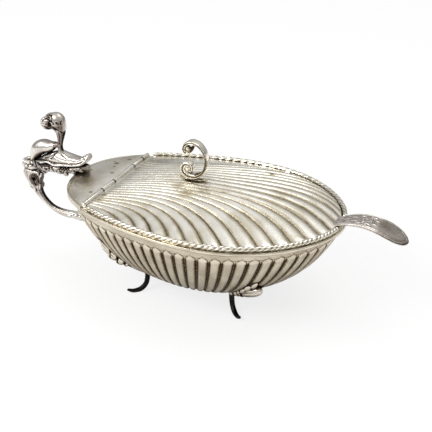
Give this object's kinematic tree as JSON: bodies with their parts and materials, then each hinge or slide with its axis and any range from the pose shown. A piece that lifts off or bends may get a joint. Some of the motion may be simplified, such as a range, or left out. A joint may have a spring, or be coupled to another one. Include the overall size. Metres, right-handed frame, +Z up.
{
  "type": "shell dish",
  "caption": "Covered shell-shaped serving dish on hooked feet, with a hinged fluted lid, scroll finial, figural loop handle and a serving spoon through a lid notch.",
  "frame": {"origin": "on the ground, under the middle of the dish's bounding box", "axes": "+X along the dish from the handle to the spoon, +Z up"},
  "size_m": [0.293, 0.1354, 0.1119],
  "materials": {
    "bowl_silver": "silver plate, tarnished brown in the grooves",
    "lid_silver": "polished silver plate with a warm tone",
    "handle_silver": "bright cast silver, dark in the hollows",
    "spoon_silver": "worn silver plate with a greyish pink tone",
    "leg_black": "blackened cast silver plate"
  },
  "bodies": {
    "dish": {"shell_bowl": "bowl_silver", "bowl_rim_strip": "bowl_silver", "rear_cover": "lid_silver", "hinge_knuckle_1_cover": "lid_silver", "hinge_knuckle_3_cover": "lid_silver", "hinge_knuckle_5_cover": "lid_silver", "hinge_pin": "lid_silver", "handle_loop": "handle_silver", "handle_leaf_cup": "handle_silver", "handle_bead_collar": "handle_silver", "handle_figure": "handle_silver", "handle_wing": "handle_silver", "handle_bracket": "handle_silver", "foot_bud_front_far": "bowl_silver", "foot_bud_front_near": "bowl_silver", "foot_bud_rear_far": "bowl_silver", "foot_bud_rear_near": "bowl_silver", "foot_leg_front_far": "leg_black", "foot_leg_front_near": "leg_black", "foot_leg_rear_far": "leg_black", "foot_leg_rear_near": "leg_black"},
    "lid": {"lid_shell": "lid_silver", "lid_rope_far": "lid_silver", "lid_rope_near": "lid_silver", "hinge_knuckle_2_lid": "lid_silver", "hinge_knuckle_4_lid": "lid_silver", "finial_scroll": "lid_silver", "finial_leaf_pad": "lid_silver", "finial_nut": "lid_silver"},
    "spoon": {"serving_spoon": "spoon_silver"}
  },
  "joints": [
    {"name": "lid_hinge", "type": "hinge", "parent": "dish", "child": "lid", "pos_m": [-0.06525, 0, 0.0705], "axis": [0, -1, 0], "range_deg": [0, 100]},
    {"name": "spoon_slide", "type": "slide", "parent": "dish", "child": "spoon", "axis": [0.848, 0, 0.5299], "range_m": [0, 0.008]}
  ]
}
